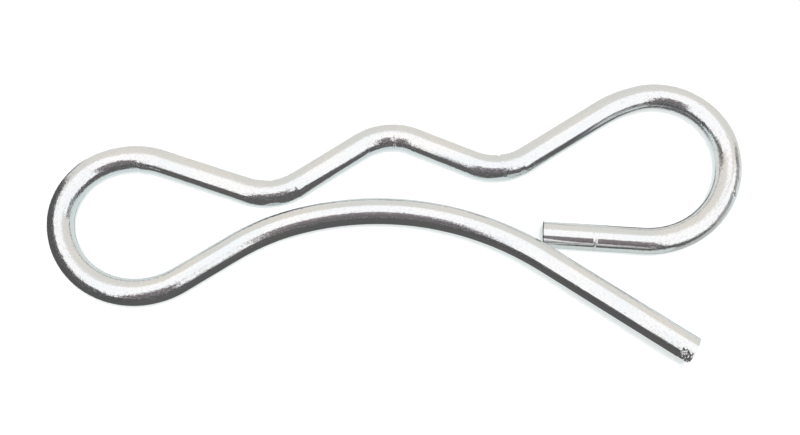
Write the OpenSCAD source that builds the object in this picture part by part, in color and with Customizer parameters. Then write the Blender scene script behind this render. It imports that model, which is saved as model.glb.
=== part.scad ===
// Double-loop hairpin cotter, bent from one length of round spring wire and lying flat.
// Millimetres. The origin is the centre of the footprint on the surface it lies on,
// +X runs from the closed loop to the hook, +Y to the back of the upper arm, +Z up.
// The wire is laid out as a wire bender would make it: straight, bend, straight, bend.
// A bend's angle is positive to the left of travel. Travel starts at the hook's tip.

/* [Wire] */
// Diameter of the wire
wire_d = 3; // [2.8:0.05:3.1]
// Growth of the wire's radius where it is bent, doubled on the middle arc of a loop
bend_swell = 0.02; // [0.01:0.01:0.04]

/* [Hook, open loop] */
// How far the cut tip's corner reaches under the leg's edge, seen from above
tip_tuck = 0.05; // [-0.2:0.05:0.1]
// Undercut of the tip's sheared end from square, degrees
tip_shear_angle = 10; // [0:1:12]
// Distance from the tip's end to the ring that the cutter's jaw left round it
ring_at = 5.7; // [4:0.1:8]
// Depth of that ring
ring_depth = 0.1; // [0.05:0.05:0.2]
// Radius of the hook's first arc, after the tip's straight run
hook_lead_r = 10.25; // [10:0.25:10.5]
// Angle of the hook's first arc, degrees
hook_lead_angle = 99; // [98:1:100]
// Radius of the hook's tightest arc
hook_nose_r = 8; // [7.75:0.25:8.25]
// Angle of the hook's tightest arc, degrees
hook_nose_angle = 99; // [98:1:100]
// Radius of the arc that eases the hook into the upper arm
hook_ease_r = 15.75; // [15:0.25:16.5]
// Angle of the arc that eases the hook into the upper arm, degrees
hook_ease_angle = 19; // [18:1:20]

/* [Upper arm] */
// Straight run from the hook down to the dip beside it
hook_run = 11; // [10.5:0.25:11.5]
// Radius of the dip beside the hook
near_dip_r = 6.5; // [6.25:0.25:6.75]
// Angle of the dip beside the hook, degrees
near_dip_angle = 56; // [55:1:57]
// Straight run from the dip up to the crown
crown_rise = 7.5; // [7.25:0.25:7.75]
// Radius of the crown that snaps over the shaft
crown_r = 6.75; // [6.5:0.25:7]
// Angle of the crown, degrees
crown_angle = 57; // [56:1:58]
// Straight run from the crown down to the dip beside the closed loop
crown_fall = 8.75; // [8.5:0.25:9]
// Radius of the dip beside the closed loop
far_dip_r = 6.75; // [6.5:0.25:7]
// Angle of the dip beside the closed loop, degrees
far_dip_angle = 53; // [52:1:54]
// Straight run from that dip up to the closed loop
loop_run = 10.75; // [10.5:0.25:11]

/* [Bending marks] */
// Length of the flat that the anvil pressed across the crown's outer side
crown_flat = 3.5; // [2:0.25:4.5]
// Angle from the crown's middle back to that flat's middle, degrees
crown_flat_angle = 8; // [0:1:12]
// Length of the flat across the outer side of each dip
dip_flat = 3; // [1.5:0.25:4]
// Depth of the crease on the inner side opposite each flat
crease_depth = 0.15; // [0.05:0.05:0.25]

/* [Closed loop] */
// Radius of the loop's first arc, at its back
loop_back_r = 9.5; // [9.25:0.25:9.75]
// Angle of the loop's first arc, degrees
loop_back_angle = 39; // [38:1:40]
// Radius of the loop's tightest arc, at its nose
loop_nose_r = 7.25; // [7:0.25:7.5]
// Angle of the loop's tightest arc, degrees
loop_nose_angle = 78; // [77:1:79]
// Radius of the loop's last arc, at its front
loop_front_r = 9.25; // [9:0.25:9.5]
// Angle of the loop's last arc, degrees
loop_front_angle = 115; // [114:1:116]

/* [Leg] */
// Straight run from the closed loop to the leg's arch
arch_run = 7; // [6.75:0.25:7.25]
// Spring set that lifts the leg over the hook's tip, degrees of twist
leg_twist_angle = 3; // [2.5:0.25:4]
// Radius of the arch's first arc
arch_lead_r = 24.75; // [24:0.25:25.5]
// Angle of the arch's first arc, degrees
arch_lead_angle = 17; // [16.5:0.5:17.5]
// Radius of the long arch under the crown
arch_r = 34; // [33:0.5:35]
// Angle of the long arch, degrees
arch_angle = 51; // [50.5:0.5:51.5]
// Straight run of the leg, measured on its centre line
leg_run = 18.75; // [17:0.25:20]
// Slant of the leg's sheared end from square, degrees
leg_shear_angle = 7; // [0:1:10]
// Length of the chip torn out of the leg's end
chip_run = 1.25; // [0.75:0.25:1.75]
// Depth of that chip
chip_depth = 0.4; // [0.2:0.1:0.6]
// Place of that chip round the wire, degrees from the leg's left side over its top
chip_angle = 167; // [150:1:180]

/* [Hidden] */
$fn = 96;
wire_r = wire_d / 2;
tip_heading_angle = -4;
// how far one step of the layout reaches into the next
lap = 0.05;

// straight, radius, angle, twist before the bend, length of its flat, angle from its middle back to the flat
BENDS = [
    [0, hook_lead_r, hook_lead_angle, 0, 0, 0],
    [0, hook_nose_r, hook_nose_angle, 0, 0, 0],
    [0, hook_ease_r, hook_ease_angle, 0, 0, 0],
    [hook_run, near_dip_r, -near_dip_angle, 0, dip_flat, 0],
    [crown_rise, crown_r, crown_angle, 0, crown_flat, crown_flat_angle],
    [crown_fall, far_dip_r, -far_dip_angle, 0, dip_flat, 0],
    [loop_run, loop_back_r, loop_back_angle, 0, 0, 0],
    [0, loop_nose_r, loop_nose_angle, 0, 0, 0],
    [0, loop_front_r, loop_front_angle, 0, 0, 0],
    [arch_run, arch_lead_r, -arch_lead_angle, -leg_twist_angle, 0, 0],
    [0, arch_r, -arch_angle, 0, 0, 0]
];

// a bend that follows a straight run grows by one step, and one that follows a bend by the other
function swell_step(i) = i >= len(BENDS) ? 0 : i == 0 || BENDS[i][0] > 0 ? 1 : 3 - swell_step(i - 1);

function shift_m(p) = [[1, 0, 0, p[0]], [0, 1, 0, p[1]], [0, 0, 1, p[2]], [0, 0, 0, 1]];
function turn_m(a) = [[cos(a), -sin(a), 0, 0], [sin(a), cos(a), 0, 0], [0, 0, 1, 0], [0, 0, 0, 1]];
function twist_m(a) = [[1, 0, 0, 0], [0, cos(a), -sin(a), 0], [0, sin(a), cos(a), 0], [0, 0, 0, 1]];
function bend_m(r, a) = shift_m([0, sign(a) * r, 0]) * turn_m(a) * shift_m([0, -sign(a) * r, 0]);
function step_m(s) = shift_m([s[0], 0, 0]) * twist_m(s[3]) * bend_m(s[1], s[2]);

// where the wire bender's head stands before bend i, in the layout's own frame
function head(i) = i == 0 ? turn_m(tip_heading_angle) : head(i - 1) * step_m(BENDS[i - 1]);
function spot(m) = [m[0][3], m[1][3], m[2][3]];
function along(m) = [m[0][0], m[1][0], m[2][0]];

// the tip's straight run ends where its lower edge reaches tip_tuck under the leg's upper edge
LEG = head(len(BENDS));
leg_spot = spot(LEG);
leg_dir = along(LEG);
tip_dir = [cos(tip_heading_angle), sin(tip_heading_angle)];
leg_flat = [leg_dir[0], leg_dir[1]] / norm([leg_dir[0], leg_dir[1]]);
edge_gap = [leg_spot[0] - leg_flat[1] * (wire_r - tip_tuck), leg_spot[1] + leg_flat[0] * (wire_r - tip_tuck)]
    - [tip_dir[1] * wire_r, -tip_dir[0] * wire_r];
tip_run = -(edge_gap[0] * leg_flat[1] - edge_gap[1] * leg_flat[0])
    / (tip_dir[0] * leg_flat[1] - tip_dir[1] * leg_flat[0]);

// points along the centre line, for the size of the footprint
STEPS = 48;
TRAIL = concat(
    [[-tip_run * tip_dir[0], -tip_run * tip_dir[1], 0]],
    [for (i = [0 : len(BENDS) - 1]) for (k = [0 : STEPS])
        spot(head(i) * step_m([BENDS[i][0], BENDS[i][1], BENDS[i][2] * (k + 0.001) / STEPS, BENDS[i][3]]))],
    [spot(LEG * shift_m([leg_run, 0, 0]))]
);
foot_x = (min([for (p = TRAIL) p[0]]) + max([for (p = TRAIL) p[0]])) / 2;
low_y = TRAIL[len(TRAIL) - 1][1] - wire_r * leg_flat[0];
foot_y = (low_y + max([for (p = TRAIL) p[1]]) + wire_r) / 2;
foot_z = min([for (p = TRAIL) p[2]]) - wire_r - 2 * bend_swell;

// a straight run reaches lap into the bend at either end of it
module wire_straight(run) {
    translate([-lap, 0, 0])
        rotate([0, 90, 0])
            cylinder(h = run + 2 * lap, r = wire_r);
}

// the arc of a bend, from the bender's head at the origin, reaching the given angles past its ends
module wire_bend(s, r, before, after) {
    mirror([0, s[2] < 0 ? 1 : 0, 0])
        translate([0, s[1], 0])
            rotate([0, 0, -90 - before])
                rotate_extrude(angle = before + abs(s[2]) + after, $fn = 180)
                    translate([s[1], 0])
                        circle(r = r);
}

// what the anvil and the former press out of a bend: a flat across its outer side, a crease across its inner
module bend_marks(s, r) {
    outer_r = s[1] + r;
    flat_at = sqrt(outer_r * outer_r - s[4] * s[4] / 4);
    mirror([0, s[2] < 0 ? 1 : 0, 0])
        translate([0, s[1], 0])
            rotate([0, 0, abs(s[2]) / 2 - s[5] - 90]) {
                translate([flat_at, -s[4], -wire_d])
                    cube([wire_d, 2 * s[4], 2 * wire_d]);
                translate([s[1] - r, 0, 0])
                    rotate([0, 0, 45])
                        cube([crease_depth * sqrt(2), crease_depth * sqrt(2), 2 * wire_d], center = true);
            }
}

// carries what follows to the far end of a bend
module past_bend(s) {
    side = sign(s[2]) * s[1];
    translate([0, side, 0])
        rotate([0, 0, s[2]])
            translate([0, -side, 0])
                children();
}

// bend i and all that follows it, drawn from the bender's head before bend i
module wire_from(i) {
    if (i < len(BENDS)) {
        s = BENDS[i];
        bend_r = wire_r + swell_step(i) * bend_swell;
        reach = swell_step(i) == 1 ? lap / s[1] * 180 / PI : 0;
        if (s[0] > 0)
            wire_straight(s[0]);
        translate([s[0], 0, 0])
            rotate([s[3], 0, 0]) {
                difference() {
                    wire_bend(s, bend_r, s[0] > 0 || i == 0 ? 0 : reach, swell_step(i + 1) == 2 ? reach : 0);
                    if (s[4] > 0)
                        bend_marks(s, bend_r);
                }
                past_bend(s)
                    wire_from(i + 1);
            }
    } else {
        leg_end();
    }
}

// the sheared end, with the chip that tore out of it
module leg_end() {
    difference() {
        wire_straight(leg_run + wire_d);
        translate([leg_run, 0, 0])
            rotate([0, 0, leg_shear_angle])
                translate([0, -2 * wire_d, -wire_d])
                    cube([4 * wire_d, 4 * wire_d, 2 * wire_d]);
        rotate([chip_angle, 0, 0])
            translate([leg_run - chip_run, wire_r - chip_depth, -wire_d])
                cube([chip_run + wire_d, wire_d, 2 * wire_d]);
    }
}

// the tip's straight run, undercut at its end and ringed by the cutter's jaw
module tip_end() {
    spare = wire_r;
    difference() {
        translate([-tip_run - spare, 0, 0])
            rotate([0, 90, 0])
                cylinder(h = tip_run + spare + lap, r = wire_r);
        translate([-tip_run, 0, 0])
            rotate([0, -tip_shear_angle, 0])
                translate([-2 * wire_d, -wire_d, -2 * wire_d])
                    cube([2 * wire_d, 2 * wire_d, 4 * wire_d]);
        translate([ring_at - tip_run, 0, 0])
            rotate([0, 90, 0])
                rotate_extrude()
                    translate([wire_r, 0])
                        rotate(45)
                            square(ring_depth * sqrt(2), center = true);
    }
}

module cotter_pin() {
    color([0.78, 0.79, 0.80])
        translate([-foot_x, -foot_y, -foot_z])
            rotate([0, 0, tip_heading_angle]) {
                tip_end();
                wire_from(0);
            }
}

cotter_pin();
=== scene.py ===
"""Dresses the cotter pin: a double-loop hairpin of zinc-plated spring wire, lying on a white table."""

import math
from collections import namedtuple

import bpy
from mathutils import Matrix, Vector, noise


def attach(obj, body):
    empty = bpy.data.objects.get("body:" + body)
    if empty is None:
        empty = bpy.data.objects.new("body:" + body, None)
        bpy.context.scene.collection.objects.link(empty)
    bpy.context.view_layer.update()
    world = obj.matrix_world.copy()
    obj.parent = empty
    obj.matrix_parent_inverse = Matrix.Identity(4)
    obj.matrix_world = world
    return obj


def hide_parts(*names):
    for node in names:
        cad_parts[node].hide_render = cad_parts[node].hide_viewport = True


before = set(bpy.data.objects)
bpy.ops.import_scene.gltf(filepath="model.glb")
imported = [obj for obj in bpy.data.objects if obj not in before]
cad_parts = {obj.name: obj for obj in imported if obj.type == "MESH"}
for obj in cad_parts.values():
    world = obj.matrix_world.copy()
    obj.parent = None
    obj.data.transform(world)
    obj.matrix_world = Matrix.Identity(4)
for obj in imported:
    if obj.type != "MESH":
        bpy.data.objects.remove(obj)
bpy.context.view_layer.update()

# ---------------------------------------------------------------------------------------------------------
# Camera. A close-up lens on a copy stand, looking down at 69.5 degrees from the leg's side of the pin, so
# that the pin's long axis runs straight across the picture.
MM = 0.001
LOOK_AT = Vector((0.23, 0.74, 0.04)) * MM
CAMERA_DISTANCE = 117.1 * MM
CAMERA_ELEVATION = math.radians(69.5)
CAMERA_LENS = 45.0
CAMERA_SENSOR = 36.0

camera_data = bpy.data.cameras.new("copy_stand_camera")
camera_data.lens = CAMERA_LENS
camera_data.sensor_width = CAMERA_SENSOR
camera_data.clip_start = 5 * MM
camera_data.clip_end = 5.0
camera = bpy.data.objects.new("copy_stand_camera", camera_data)
toward_camera = Vector((0.0, -math.cos(CAMERA_ELEVATION), math.sin(CAMERA_ELEVATION)))
camera.location = LOOK_AT + toward_camera * CAMERA_DISTANCE
camera.rotation_euler = (math.pi / 2 - CAMERA_ELEVATION, 0.0, 0.0)
bpy.context.scene.collection.objects.link(camera)
bpy.context.scene.camera = camera

# ---------------------------------------------------------------------------------------------------------
# The pin. One length of 3 mm spring wire, drawn, cut, and bent round formers in a wire bender: hook, dip,
# crown, dip, closed loop, then the long arch and the straight leg, which is set up over the hook's tip. The
# sizes are in mm and degrees.
WIRE_R = 1.5
BEND_SWELL = 0.03
TIP_RUN = 11.295
TIP_UNDERCUT = 10.0
HOOK_START = (27.953, -2.685, 1.54)
TIP_HEADING = -4.0
LEG_RUN = 18.75
LEG_SHEAR = 7.0

# name, straight run before the bend, radius, angle, twist before the bend
BENDS = (
    ("hook_lead", 0.0, 10.25, 99.0, 0.0),
    ("hook_nose", 0.0, 8.0, 99.0, 0.0),
    ("hook_ease", 0.0, 15.75, 19.0, 0.0),
    ("near_dip", 11.0, 6.5, -56.0, 0.0),
    ("crown", 7.5, 6.75, 57.0, 0.0),
    ("far_dip", 8.75, 6.75, -53.0, 0.0),
    ("loop_back", 10.75, 9.5, 39.0, 0.0),
    ("loop_nose", 0.0, 7.25, 78.0, 0.0),
    ("loop_front", 0.0, 9.25, 115.0, 0.0),
    ("arch_lead", 7.0, 24.75, -17.0, -3.0),
    ("arch", 0.0, 34.0, -51.0, 0.0),
)

# flats that the anvil pressed across the outer side of a bend: bend, length, and how far before its middle
FLATS = (("near_dip", 3.0, 0.0), ("crown", 3.5, 0.9), ("far_dip", 3.0, 0.0))

FedPiece = namedtuple("FedPiece", "kind start length radius side twist")


def fed_pieces():
    """The program as runs and bends, where each bend's middle is, and how much wire it takes."""
    pieces = [FedPiece("run", 0.0, TIP_RUN, 0.0, 0, 0.0)]
    middles = {}
    fed = TIP_RUN
    for name, run, radius, angle, twist in BENDS:
        if run > 0.0:
            pieces.append(FedPiece("run", fed, run, 0.0, 0, 0.0))
            fed += run
        arc = radius * math.radians(abs(angle))
        side = 1 if angle > 0 else -1
        pieces.append(FedPiece("bend", fed, arc, radius, side, twist))
        middles[name] = (fed + arc / 2, radius, side)
        fed += arc
    pieces.append(FedPiece("run", fed, LEG_RUN, 0.0, 0, 0.0))
    return pieces, middles, fed + LEG_RUN


PIECES, BEND_MIDDLE, WIRE_LENGTH = fed_pieces()
CROWN_CREASE = BEND_MIDDLE["crown"][0] - 0.9
NEAR_DIP_CREASE = BEND_MIDDLE["near_dip"][0]
FAR_DIP_CREASE = BEND_MIDDLE["far_dip"][0]

# marks that the bender and the cutter left: where along the wire, where round it (from its left side over
# its top), half length, half width in degrees, and depth (negative where metal stands proud). A mark
# reaches a few half lengths, and its floor is ragged.
MARKS = (
    # crease across the inner side of the crown, the burrs thrown up beside it, and the nick at its end
    (CROWN_CREASE, 20.0, 0.16, 34.0, 0.17),
    (CROWN_CREASE - 0.42, 12.0, 0.2, 26.0, -0.05),
    (CROWN_CREASE + 0.35, 48.0, 0.16, 9.0, -0.07),
    (CROWN_CREASE + 0.1, 62.0, 0.1, 9.0, 0.14),
    # kink on the inner side of each dip
    (NEAR_DIP_CREASE, 165.0, 0.2, 40.0, 0.14),
    (NEAR_DIP_CREASE - 0.5, 170.0, 0.3, 36.0, -0.08),
    (FAR_DIP_CREASE, 175.0, 0.3, 40.0, 0.08),
    (FAR_DIP_CREASE + 1.6, 150.0, 0.5, 24.0, -0.05),
    # nicks: outside the hook, beside the arch's start, and on the hook's inner side
    (23.4, 140.0, 0.14, 12.0, 0.12),
    (23.8, 134.0, 0.16, 12.0, -0.05),
    (25.3, 126.0, 0.2, 8.0, 0.06),
    (152.4, 184.0, 0.15, 16.0, 0.09),
    (45.4, 70.0, 0.12, 5.0, 0.08),
)
MARK_REACH = 3.0
MARK_RAGGED = 0.5
MARK_GRAIN = 0.25

# where the former's edge pressed the wire: the abrupt start, the slow end, where round the wire, half width
# in degrees, and depth
PRESSES = (
    (CROWN_CREASE + 0.1, CROWN_CREASE + 2.2, 10.0, 34.0, 0.09),
    (CROWN_CREASE - 0.1, CROWN_CREASE - 2.6, 4.0, 30.0, 0.08),
    (59.7, 65.0, 20.0, 34.0, 0.1),
    (88.8, 94.0, 20.0, 34.0, 0.09),
    (107.8, 112.5, 10.0, 34.0, 0.1),
)
PRESS_EDGE = 0.25

# the ring that the cutter's jaw left round the tip, with its lip's place and its reach in half widths
TIP_RING = 5.7
TIP_RING_DEPTH = 0.12
TIP_RING_HALF = 0.07
TIP_RING_LIP = 0.05
TIP_RING_LIP_AWAY = 2.2
TIP_RING_WAVE = 0.05
TIP_RING_FRONT = 175.0
TIP_RING_LEAST = 0.05
TIP_RING_REACH = 6.0

# the chip torn out of the leg's end, with the unevenness of its edge and floor as (height, size, seed)
CHIP_RUN = 1.25
CHIP_DEPTH = 0.4
CHIP_TURN = 167.0
CHIP_EDGE = (0.2, 0.25, 5.0)
CHIP_FLOOR = ((0.34, 0.36, 9.0), (0.14, 0.16, 2.0))

# the rings of points along the wire, how far the finer ones reach about a mark and from each end, and a
# length too small to matter
RING_POINTS = 84
RING_STEP = 0.34
FINE_STEP = 0.08
FINE_BY_MARK = 0.7
FINE_BY_TIP = 0.5
FINE_BY_LEG_END = 2.2
HAIR = 1e-6


def ring_places():
    """Lengths along the wire at which a ring of points stands, closer together round the marks."""
    fine_places = [mark[0] for mark in MARKS] + [press[0] for press in PRESSES] + [TIP_RING]
    places = []
    for piece in PIECES:
        at = piece.start
        while at < piece.start + piece.length - HAIR:
            places.append(at)
            by_mark = min(abs(at - place) for place in fine_places) < FINE_BY_MARK
            by_end = at < FINE_BY_TIP or at > WIRE_LENGTH - FINE_BY_LEG_END
            at += FINE_STEP if by_mark or by_end else RING_STEP
    places.append(WIRE_LENGTH)
    return places


def feed(piece, length):
    """Moves the bender's head by a length of a piece, straight or round a former on one side."""
    if piece.kind == "run":
        return Matrix.Translation((length, 0.0, 0.0))
    centre = Matrix.Translation((0.0, piece.side * piece.radius, 0.0))
    return centre @ Matrix.Rotation(piece.side * length / piece.radius, 4, "Z") @ centre.inverted()


def wire_frames(places):
    """The bender's head at each place: x runs along the wire, y to its left and z up."""
    frames = []
    head = Matrix.Translation(HOOK_START) @ Matrix.Rotation(math.radians(TIP_HEADING), 4, "Z")
    head = head @ Matrix.Translation((-TIP_RUN, 0.0, 0.0))
    waiting = list(places)
    for piece in PIECES:
        head = head @ Matrix.Rotation(math.radians(piece.twist), 4, "X")
        last = piece.start + piece.length
        while waiting and (waiting[0] < last - HAIR or last >= WIRE_LENGTH - HAIR):
            frames.append(head @ feed(piece, waiting.pop(0) - piece.start))
        head = head @ feed(piece, piece.length)
    return frames


def turn_apart(turn, other):
    """The angle between two places round the wire, in degrees, from -180 to 180."""
    return (math.degrees(turn) - other + 180.0) % 360.0 - 180.0


def uneven(fed, turn, size, seed):
    """Smooth unevenness of the wire's skin, about -1 to 1, with patches of a size in mm."""
    place = Vector((fed, WIRE_R * math.cos(turn), WIRE_R * math.sin(turn))) / size
    return noise.noise(place + Vector((seed, 3.7 * seed, 0.0)))


TIGHT_BEND = 7.0
STRAIN_FADE = 3.0


def bend_share(fed):
    """How far into a bend a place is: 0 on a straight run, 1 in the middle of a tight bend."""
    share = 0.0
    for piece in PIECES:
        if piece.kind == "bend":
            tight = min(1.0, TIGHT_BEND / piece.radius)
            inside = min(fed - piece.start, piece.start + piece.length - fed)
            share = max(share, tight * min(1.0, max(0.0, 0.5 + inside / STRAIN_FADE)))
    return share


def pressed_flat(fed, left):
    """Keeps a point of the section inside the flats across the outer side of the dips and the crown."""
    widest_flat = 0.6  # radians either side of its middle
    for name, length, before in FLATS:
        middle, radius, side = BEND_MIDDLE[name]
        angle = (fed - middle + before) / radius
        if abs(angle) < widest_flat:
            outer = radius + WIRE_R + BEND_SWELL
            flat_at = math.sqrt(outer * outer - length * length / 4)
            most = flat_at / math.cos(angle) - radius
            if -side * left > most:
                left = -side * most
    return left


def ring_depth(fed, turn):
    """How deep the tip's ring is: deepest at the front, with a lip beside it, all but gone at the back."""
    away = (fed - TIP_RING - TIP_RING_WAVE * math.sin(3.0 * turn)) / TIP_RING_HALF
    if abs(away) > TIP_RING_REACH:
        return 0.0
    front = (0.5 + 0.5 * math.cos(math.radians(turn_apart(turn, TIP_RING_FRONT)))) ** 2
    groove = TIP_RING_DEPTH * math.exp(-away * away)
    lip = TIP_RING_LIP * math.exp(-((away - TIP_RING_LIP_AWAY) ** 2))
    return (groove - lip) * (TIP_RING_LEAST + (1.0 - TIP_RING_LEAST) * front)


def torn_chip(fed, turn, left, up):
    """Takes the torn chip out of the leg's end: a rough ledge on the side that faces down the leg."""
    if fed < WIRE_LENGTH - 2.0 * CHIP_RUN:
        return left, up
    side = math.radians(CHIP_TURN)
    out_left, out_up = math.cos(side), math.sin(side)
    ragged, size, seed = CHIP_EDGE
    start = WIRE_LENGTH - CHIP_RUN - ragged * uneven(0.0, turn, size, seed)
    deep = (left * out_left + up * out_up) - (WIRE_R - CHIP_DEPTH)
    deep += sum(height * uneven(fed, turn, size, seed) for height, size, seed in CHIP_FLOOR)
    if fed > start and deep > 0.0:
        left -= deep * out_left
        up -= deep * out_up
    return left, up


SKIN_UNEVEN = 0.012
SKIN_PATCH = 2.2


def section_point(fed, turn):
    """One point of the wire's section, as (left, up), with every mark pressed in."""
    radius = WIRE_R + BEND_SWELL * bend_share(fed) + SKIN_UNEVEN * uneven(fed, turn, SKIN_PATCH, 1.0)
    for at, where, half_length, half_width, depth in MARKS:
        along = (fed - at) / half_length
        if abs(along) < MARK_REACH:
            around = turn_apart(turn, where) / half_width
            ragged = 1.0 + MARK_RAGGED * uneven(fed, turn, MARK_GRAIN, 4.0)
            radius -= depth * ragged * math.exp(-along * along - around * around)
    for start, end, where, half_width, depth in PRESSES:
        share = (fed - start) / (end - start)
        if 0.0 < share < 1.0:
            abrupt = min(1.0, abs(fed - start) / PRESS_EDGE)
            around = turn_apart(turn, where) / half_width
            radius -= depth * abrupt * (1.0 - share * share) * math.exp(-around * around)
    radius -= ring_depth(fed, turn)
    left = pressed_flat(fed, radius * math.cos(turn))
    return torn_chip(fed, turn, left, radius * math.sin(turn))


TIP_SLANT_RUN = 1.0
LEG_SLANT_RUN = 2.0


def end_slant(fed, left, up):
    """How far a point near either end is carried along the wire by the slant of the cut there."""
    if fed < TIP_SLANT_RUN:
        share = 1.0 - fed / TIP_SLANT_RUN
        return -share * up * math.tan(math.radians(TIP_UNDERCUT))
    if fed > WIRE_LENGTH - LEG_SLANT_RUN:
        share = 1.0 - (WIRE_LENGTH - fed) / LEG_SLANT_RUN
        return -share * left * math.tan(math.radians(LEG_SHEAR))
    return 0.0


def face_noise(left, up, grain, seed):
    """Smooth unevenness across an end face, about -1 to 1, with so many grains to the millimetre."""
    return noise.noise(Vector((left * grain, up * grain, seed)))


def tip_cut(left, up):
    """How far the tip's end face is carried along the wire: it was nipped off, and bulges by a hair."""
    bulge, unevenness = 0.02, 0.03
    return unevenness * face_noise(left, up, 3.0, 0.0) - bulge


def torn_cut(left, up):
    """How far the leg's end face is carried along the wire: only where it tore, and unevenly."""
    sunk, crumble = 0.14, 0.34
    toward_clean_side = left * 0.9 - up * 0.3
    torn = min(1.0, max(0.0, (0.5 - toward_clean_side) / 0.6))
    grain = face_noise(left, up, 3.4, 7.0) + 0.5 * face_noise(left, up, 9.0, 2.0)
    return torn * (crumble * grain - sunk)


# the rings of points across an end face, as shares of the wire's section
FACE_RINGS = (0.96, 0.88, 0.78, 0.68, 0.58, 0.48, 0.38, 0.28, 0.18, 0.09)
SHARP_EDGE = 38.0


def build_wire():
    """The whole wire as one closed mesh, with each point's place on the straight wire kept on it."""
    places = ring_places()
    frames = wire_frames(places)
    points, straight, strain = [], [], []

    def add_ring(fed, head, inward=1.0, cut=None):
        """One ring of points round the wire, or further in across an end face."""
        for k in range(RING_POINTS):
            turn = math.tau * k / RING_POINTS
            left, up = section_point(fed, turn)
            left, up = left * inward, up * inward
            shift = end_slant(fed, left, up) + (cut(left, up) if cut else 0.0)
            points.append(head @ Vector((shift, left, up)) * MM)
            straight.append((fed + shift, left, up))
            strain.append(bend_share(fed))

    for inward in reversed(FACE_RINGS):
        add_ring(0.0, frames[0], inward, tip_cut)
    for fed, head in zip(places, frames):
        add_ring(fed, head)
    for inward in FACE_RINGS:
        add_ring(WIRE_LENGTH, frames[-1], inward, torn_cut)

    faces = []
    last = len(points) - RING_POINTS
    for ring in range(0, last, RING_POINTS):
        beyond = ring + RING_POINTS
        for k in range(RING_POINTS):
            n = (k + 1) % RING_POINTS
            faces.append((ring + k, ring + n, beyond + n, beyond + k))
    faces.append(tuple(reversed(range(RING_POINTS))))
    faces.append(tuple(range(last, last + RING_POINTS)))

    mesh = bpy.data.meshes.new("cotter_pin_wire")
    mesh.from_pydata([point[:] for point in points], [], faces)
    kept_place = mesh.attributes.new("straight_wire", "FLOAT_VECTOR", "POINT")
    kept_place.data.foreach_set("vector", [value for place in straight for value in place])
    kept_strain = mesh.attributes.new("bend_strain", "FLOAT", "POINT")
    kept_strain.data.foreach_set("value", strain)
    mesh.shade_smooth()
    mesh.set_sharp_from_angle(angle=math.radians(SHARP_EDGE))
    mesh.validate()
    mesh.update()
    return mesh


wire = bpy.data.objects.new("cotter_pin_wire", build_wire())
bpy.context.scene.collection.objects.link(wire)

ZINC_COOL = (0.79, 0.82, 0.83, 1.0)
ZINC_WARM = (0.86, 0.85, 0.83, 1.0)
ZINC_STRAINED = (0.8, 0.77, 0.8, 1.0)
CUT_STEEL = (0.1, 0.095, 0.1, 1.0)
BARE_BY_CUT = (0.06, 0.15)
DRAWN_ROUGHNESS = (0.07, 0.16)
SPECK_ROUGHNESS = 0.22
SPECKS_ON_RUNS = 0.5
DRAWING_LINE_DEPTH = 0.02 * MM
PIT_DEPTH = 0.04 * MM
PIT_STRENGTH = (0.22, 0.62)


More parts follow.
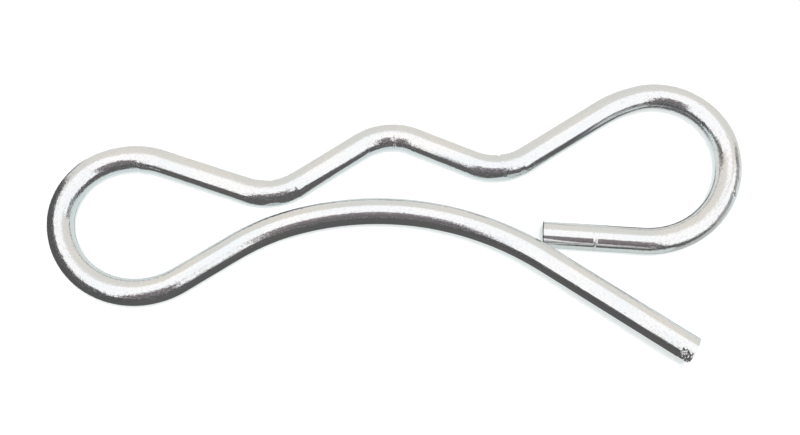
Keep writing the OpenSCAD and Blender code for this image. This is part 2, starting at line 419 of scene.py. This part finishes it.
def zinc_plating():
    """Bright zinc under a clear passivate: lines drawn along the wire, specks and pits most at bends."""
    material = bpy.data.materials.new("zinc_plated_spring_wire")
    material.use_nodes = True
    nodes, links = material.node_tree.nodes, material.node_tree.links
    shader = nodes["Principled BSDF"]
    shader.inputs["Metallic"].default_value = 1.0
    place = nodes.new("ShaderNodeAttribute")
    place.attribute_name = "straight_wire"
    strain = nodes.new("ShaderNodeAttribute")
    strain.attribute_name = "bend_strain"

    def grain(stretch, size, detail):
        """Noise on the straight wire, drawn out along it, with so many grains to the millimetre."""
        stretched = nodes.new("ShaderNodeMapping")
        stretched.inputs["Scale"].default_value = stretch
        links.new(place.outputs["Vector"], stretched.inputs["Vector"])
        field = nodes.new("ShaderNodeTexNoise")
        field.inputs["Scale"].default_value = size
        field.inputs["Detail"].default_value = detail
        links.new(stretched.outputs["Vector"], field.inputs["Vector"])
        return field.outputs["Fac"]

    def spread(source, low, high, to_low, to_high):
        """Carries what lies between two levels to two others, and stops at both ends."""
        ramp = nodes.new("ShaderNodeMapRange")
        for name, value in (("From Min", low), ("From Max", high), ("To Min", to_low), ("To Max", to_high)):
            ramp.inputs[name].default_value = value
        links.new(source, ramp.inputs["Value"])
        return ramp.outputs["Result"]

    drawing_lines = grain((0.025, 6.0, 6.0), 1.0, 4.0)
    pits = grain((0.6, 1.0, 1.0), 4.5, 2.0)
    specks = grain((0.5, 1.0, 1.0), 6.0, 2.0)
    patches = grain((0.12, 0.5, 0.5), 1.0, 2.0)

    tint = nodes.new("ShaderNodeValToRGB")
    tint.color_ramp.elements[0].position = 0.35
    tint.color_ramp.elements[0].color = ZINC_COOL
    tint.color_ramp.elements[1].position = 0.65
    tint.color_ramp.elements[1].color = ZINC_WARM
    links.new(patches, tint.inputs["Fac"])

    grainy = nodes.new("ShaderNodeMath")
    grainy.operation = "MULTIPLY"
    links.new(spread(strain.outputs["Fac"], 0.0, 1.0, SPECKS_ON_RUNS, 1.0), grainy.inputs[0])
    links.new(spread(specks, 0.52, 0.62, 0.0, 1.0), grainy.inputs[1])

    strained = nodes.new("ShaderNodeMixRGB")
    strained.inputs["Color2"].default_value = ZINC_STRAINED
    links.new(grainy.outputs["Value"], strained.inputs["Fac"])
    links.new(tint.outputs["Color"], strained.inputs["Color1"])

    # the tip's cut face is bare steel, as far as BARE_BY_CUT says from the plane of the cut
    from_cut = nodes.new("ShaderNodeVectorMath")
    from_cut.operation = "DOT_PRODUCT"
    from_cut.inputs[1].default_value = (1.0, 0.0, math.tan(math.radians(TIP_UNDERCUT)))
    links.new(place.outputs["Vector"], from_cut.inputs[0])
    bare = nodes.new("ShaderNodeMixRGB")
    bare.inputs["Color1"].default_value = CUT_STEEL
    links.new(spread(from_cut.outputs["Value"], *BARE_BY_CUT, 0.0, 1.0), bare.inputs["Fac"])
    links.new(strained.outputs["Color"], bare.inputs["Color2"])
    links.new(bare.outputs["Color"], shader.inputs["Base Color"])

    rough = nodes.new("ShaderNodeMath")
    rough.operation = "MULTIPLY_ADD"
    rough.inputs[1].default_value = SPECK_ROUGHNESS
    links.new(grainy.outputs["Value"], rough.inputs[0])
    links.new(spread(drawing_lines, 0.3, 0.7, *DRAWN_ROUGHNESS), rough.inputs[2])
    links.new(rough.outputs["Value"], shader.inputs["Roughness"])

    lines_bump = nodes.new("ShaderNodeBump")
    lines_bump.inputs["Strength"].default_value = 0.5
    lines_bump.inputs["Distance"].default_value = DRAWING_LINE_DEPTH
    links.new(drawing_lines, lines_bump.inputs["Height"])
    pits_bump = nodes.new("ShaderNodeBump")
    pits_bump.inputs["Distance"].default_value = PIT_DEPTH
    links.new(spread(strain.outputs["Fac"], 0.0, 1.0, *PIT_STRENGTH), pits_bump.inputs["Strength"])
    links.new(pits, pits_bump.inputs["Height"])
    links.new(lines_bump.outputs["Normal"], pits_bump.inputs["Normal"])
    links.new(pits_bump.outputs["Normal"], shader.inputs["Normal"])
    return material


wire.data.materials.append(zinc_plating())
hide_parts("cotter_pin")
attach(wire, "root")

# ---------------------------------------------------------------------------------------------------------
# The table. A sheet of white-backed glass that takes a thin, cool shadow. The metal doesn't show it, but
# glowing cards under the glass and strips that hang beside the wire, which paint what it reflects: a
# painted reflection of the lit table with its cool shadow, painted shade in the gap inside the hook and
# between the arms, and a painted reflection of the lit table under the leg. The sizes are in metres.


def set_card(name, points, faces, material):
    """A card of flat faces that belongs to the set and not to the pin."""
    mesh = bpy.data.meshes.new(name)
    mesh.from_pydata(points, [], faces)
    card = bpy.data.objects.new(name, mesh)
    card.data.materials.append(material)
    bpy.context.scene.collection.objects.link(card)
    return card


def card_for_metal(name, points, faces, material):
    """A card for the metal to show, hidden from the camera and from the table."""
    card = set_card(name, points, faces, material)
    card.visible_camera = False
    card.visible_diffuse = False
    card.visible_shadow = False


def level(corners, height):
    """The points and the one face of a level card, cut to its corners."""
    return [(x, y, height) for x, y in corners], [tuple(range(len(corners)))]


TABLE_LIT = (0.4, 0.37, 0.375, 1.0)
TABLE_OWN = (0.65, 0.7, 0.695, 1.0)


def table_top():
    """White-backed glass whose shadows stay pale and cool: most of its white is its own for the camera."""
    material = bpy.data.materials.new("white_backed_glass")
    material.use_nodes = True
    nodes, links = material.node_tree.nodes, material.node_tree.links
    nodes.remove(nodes["Principled BSDF"])
    paper = nodes.new("ShaderNodeBsdfDiffuse")
    paper.inputs["Color"].default_value = TABLE_LIT
    own = nodes.new("ShaderNodeEmission")
    own.inputs["Color"].default_value = TABLE_OWN
    path = nodes.new("ShaderNodeLightPath")
    links.new(path.outputs["Is Camera Ray"], own.inputs["Strength"])
    both = nodes.new("ShaderNodeAddShader")
    links.new(paper.outputs["BSDF"], both.inputs[0])
    links.new(own.outputs["Emission"], both.inputs[1])
    links.new(both.outputs["Shader"], nodes["Material Output"].inputs["Surface"])
    return material


def glowing_card(name, colour):
    """A card as bright as its colour says, whatever lights it."""
    material = bpy.data.materials.new(name)
    material.use_nodes = True
    nodes, links = material.node_tree.nodes, material.node_tree.links
    nodes.remove(nodes["Principled BSDF"])
    glow = nodes.new("ShaderNodeEmission")
    glow.inputs["Color"].default_value = (*colour, 1.0)
    glow.inputs["Strength"].default_value = 1.0
    links.new(glow.outputs["Emission"], nodes["Material Output"].inputs["Surface"])
    return material


def glow_of(material):
    """The node that a glowing card's light comes from."""
    return next(node for node in material.node_tree.nodes if node.type == "EMISSION")


def graded_card(name, axis, stops):
    """A glowing card whose colour runs through stops (place in metres, colour) along one axis."""
    material = glowing_card(name, (1.0, 1.0, 1.0))
    nodes, links = material.node_tree.nodes, material.node_tree.links
    place = nodes.new("ShaderNodeTexCoord")
    split = nodes.new("ShaderNodeSeparateXYZ")
    links.new(place.outputs["Object"], split.inputs["Vector"])
    first, last = stops[0][0], stops[-1][0]
    reach = nodes.new("ShaderNodeMapRange")
    reach.inputs["From Min"].default_value = first
    reach.inputs["From Max"].default_value = last
    links.new(split.outputs[axis], reach.inputs["Value"])
    colours = nodes.new("ShaderNodeValToRGB")
    elements = colours.color_ramp.elements
    while len(elements) < len(stops):
        elements.new(0.5)
    for element, (at, colour) in zip(elements, stops):
        element.position = (at - first) / (last - first)
        element.color = (*colour, 1.0)
    links.new(reach.outputs["Result"], colours.inputs["Fac"])
    links.new(colours.outputs["Color"], glow_of(material).inputs["Color"])
    return material


def seen_from_front_only(material):
    """Leaves a glowing card clear from its back."""
    nodes, links = material.node_tree.nodes, material.node_tree.links
    face = nodes.new("ShaderNodeNewGeometry")
    clear = nodes.new("ShaderNodeBsdfTransparent")
    either = nodes.new("ShaderNodeMixShader")
    links.new(face.outputs["Backfacing"], either.inputs["Fac"])
    links.new(glow_of(material).outputs["Emission"], either.inputs[1])
    links.new(clear.outputs["BSDF"], either.inputs[2])
    links.new(either.outputs["Shader"], nodes["Material Output"].inputs["Surface"])
    return material


def hanging_strip(name, line, high, colour):
    """An upright strip along a line of (x, y, low edge): it glows to the back, and its front is clear."""
    points = [(x, y, z) for x, y, low in line for z in (low, high)]
    faces = [(2 * i, 2 * i + 2, 2 * i + 3, 2 * i + 1) for i in range(len(line) - 1)]
    card_for_metal(name, points, faces, seen_from_front_only(glowing_card(name, colour)))


TABLE_HALF = 3.0
TABLE_CORNERS = (
    (-TABLE_HALF, -TABLE_HALF),
    (TABLE_HALF, -TABLE_HALF),
    (TABLE_HALF, TABLE_HALF),
    (-TABLE_HALF, TABLE_HALF),
)
table = set_card("white_table", *level(TABLE_CORNERS, 0.0), table_top())
table.visible_glossy = False

# the card under the glass reaches away to the back and the right, and its front edge runs inside the closed
# loop, then under the arch and the leg. It glows with a painted reflection of the lit table: cool where a
# painted shadow lies near the wire, darker grey at the front under the leg, and warm further back
CARD_HEIGHT = -0.0045
CARD_CORNERS = (
    (-0.37, 0.5),
    (-0.37, 0.32),
    (-0.037, 0.009),
    (-0.037, -0.002),
    (-0.031, -0.0035),
    (-0.024, -0.003),
    (-0.016, -0.0012),
    (-0.008, -0.0003),
    (0.0, 0.0006),
    (0.008, -0.0008),
    (0.016, -0.0046),
    (0.036, -0.0167),
    (0.5, -0.0167),
    (0.5, 0.5),
)
# painted reflection: the table's tones from front to back along y, with the cool painted shadow near the
# wire
TABLE_REFLECTION_SHADES = (
    (-0.02, (0.5, 0.5, 0.5)),
    (-0.004, (0.56, 0.58, 0.58)),
    (0.0, (0.74, 0.82, 0.82)),
    (0.01, (0.76, 0.84, 0.84)),
    (0.02, (0.8, 0.785, 0.74)),
    (0.5, (0.8, 0.785, 0.74)),
)
table_reflection_paint = graded_card("painted_reflection_card_under_glass", "Y", TABLE_REFLECTION_SHADES)
card_for_metal("painted_reflection_card_under_glass", *level(CARD_CORNERS, CARD_HEIGHT), table_reflection_paint)

# a dark glowing card just over that card paints the shade in the gap inside the hook, as the metal shows it
HOOK_SHADE_HEIGHT = CARD_HEIGHT + 0.0005
HOOK_SHADE_CORNERS = (
    (0.012, 0.0005),
    (0.024, 0.0008),
    (0.031, 0.0),
    (0.0365, 0.003),
    (0.0355, 0.0095),
    (0.03, 0.0108),
    (0.0255, 0.0065),
    (0.02, 0.003),
)
# the dark colour of the painted shade inside the hook
hook_painted_shade = glowing_card("painted_shade_inside_hook", (0.13, 0.13, 0.13))
card_for_metal("painted_shade_inside_hook", *level(HOOK_SHADE_CORNERS, HOOK_SHADE_HEIGHT), hook_painted_shade)

# a dark strip that hangs between the arms paints the shade in the gap there, as the upper arm and the hook
# show it
ARM_SHADE_LINE = (
    (0.0355, 0.003, -0.0012),
    (0.03, 0.005, -0.0012),
    (0.024, 0.004, -0.0012),
    (0.018, 0.002, -0.0002),
    (0.0145, 0.0012, 0.0009),
    (0.0095, 0.0018, 0.0009),
    (0.005, 0.0035, -0.0006),
    (0.0, 0.0042, -0.0012),
    (-0.006, 0.003, -0.0006),
    (-0.0105, 0.0015, 0.0009),
    (-0.0165, 0.0009, 0.0009),
    (-0.0235, -0.0002, -0.0008),
    (-0.0335, -0.001, -0.0012),
)
ARM_SHADE_TOP = 0.0036
# the painted shade between the arms
hanging_strip("painted_shade_between_arms", ARM_SHADE_LINE, ARM_SHADE_TOP, (0.125, 0.12, 0.12))

# the lit table under the leg, as the hook's tip shows it
TIP_LIGHT_LINE = (
    (0.034, -0.0075, CARD_HEIGHT),
    (0.027, -0.0062, CARD_HEIGHT),
    (0.0165, -0.0046, CARD_HEIGHT),
)
TIP_LIGHT_TOP = 0.0014
hanging_strip("light_below_tip", TIP_LIGHT_LINE, TIP_LIGHT_TOP, (0.66, 0.74, 0.73))

# ---------------------------------------------------------------------------------------------------------
# The light. The metal shows a large softbox overhead that reaches further to the front, a white sweep
# behind, dimmer walls to both sides, and the dark bulk of the camera's stand in front. A small lamp under
# the softbox lights the table, so the shadow keeps close to the wire.
SOFTBOX_HEIGHT = 1.0
SOFTBOX_CORNERS = ((-3.2, -2.8), (3.8, -2.8), (3.8, -1.0), (2.0, 0.0), (2.0, 0.62), (-3.2, 0.62))
softbox_shade = glowing_card("softbox_face", (1.16, 1.16, 1.17))
card_for_metal("softbox_face", *level(SOFTBOX_CORNERS, SOFTBOX_HEIGHT), softbox_shade)

LAMP_PLACE = (0.02, -0.053, 0.3)
LAMP_WIDTH = 0.075
lamp_data = bpy.data.lights.new("table_lamp", "AREA")
lamp_data.shape = "DISK"
lamp_data.size = LAMP_WIDTH
# the power at which white paper straight below the lamp is just white
lamp_data.energy = math.pi**2 * LAMP_PLACE[2] ** 2
lamp = bpy.data.objects.new("table_lamp", lamp_data)
lamp.location = LAMP_PLACE
bpy.context.scene.collection.objects.link(lamp)
lamp.visible_glossy = False

SWEEP_RADIUS = 0.5
SWEEP_FOOT = -0.15
SWEEP_STEPS = 24


def sweep(name, start, end, high, material):
    """A strip of an upright round wall about the pin, between two compass angles, up to a height."""
    points, faces = [], []
    for i in range(SWEEP_STEPS + 1):
        a = math.radians(start + (end - start) * i / SWEEP_STEPS)
        x, y = SWEEP_RADIUS * math.cos(a), SWEEP_RADIUS * math.sin(a)
        points += [(x, y, SWEEP_FOOT), (x, y, high)]
        if i:
            faces.append((2 * i - 2, 2 * i, 2 * i + 1, 2 * i - 1))
    card_for_metal(name, points, faces, material)


WHITE_SWEEP_SHADES = ((0.0, (0.82, 0.8, 0.76)), (0.5, (0.83, 0.81, 0.76)), (0.82, (0.88, 0.865, 0.83)))
sweep("white_sweep", 26.0, 143.0, 0.82, graded_card("white_sweep", "Z", WHITE_SWEEP_SHADES))
for name, start, end, high, colour in (
    ("right_sweep", -20.0, 26.0, 0.2, (0.36, 0.36, 0.36)),
    ("front_sweep", -45.0, -20.0, 0.12, (0.15, 0.15, 0.15)),
    ("dim_sweep", 143.0, 176.0, 0.35, (0.19, 0.19, 0.18)),
):
    sweep(name, start, end, high, glowing_card(name, colour))

STAND_HEIGHT = 0.66
STAND_CORNERS = ((-0.14, -0.34), (-1.1, -1.8), (0.93, -1.8), (0.18, -0.356))
STAND_SHADES = ((-1.8, (0.12, 0.11, 0.12)), (-1.0, (0.17, 0.148, 0.158)), (-0.33, (0.25, 0.222, 0.232)))
stand_shade = graded_card("camera_stand", "Y", STAND_SHADES)
card_for_metal("camera_stand", *level(STAND_CORNERS, STAND_HEIGHT), stand_shade)

# a small black flag stands close to the closed loop, on its left
FLAG_X = -0.068
FLAG_CORNERS = ((-0.2, -0.05), (0.03, -0.05), (0.03, 0.032), (-0.2, 0.032))
flag_points = [(FLAG_X, y, z) for y, z in FLAG_CORNERS]
card_for_metal("black_flag", flag_points, [(0, 1, 2, 3)], glowing_card("black_flag", (0.1, 0.1, 0.1)))

# the room is white to the camera and dim to everything else
ROOM_DIM = 0.115
room = bpy.data.worlds.new("dark_room")
bpy.context.scene.world = room
room.use_nodes = True
room_nodes, room_links = room.node_tree.nodes, room.node_tree.links
room_path = room_nodes.new("ShaderNodeLightPath")
room_level = room_nodes.new("ShaderNodeMapRange")
room_level.inputs["To Min"].default_value = ROOM_DIM
room_level.inputs["To Max"].default_value = 1.0
room_links.new(room_path.outputs["Is Camera Ray"], room_level.inputs["Value"])
room_links.new(room_level.outputs["Result"], room_nodes["Background"].inputs["Strength"])
room_nodes["Background"].inputs["Color"].default_value = (1.0, 1.0, 1.0, 1.0)

bpy.context.scene.view_settings.view_transform = "Standard"
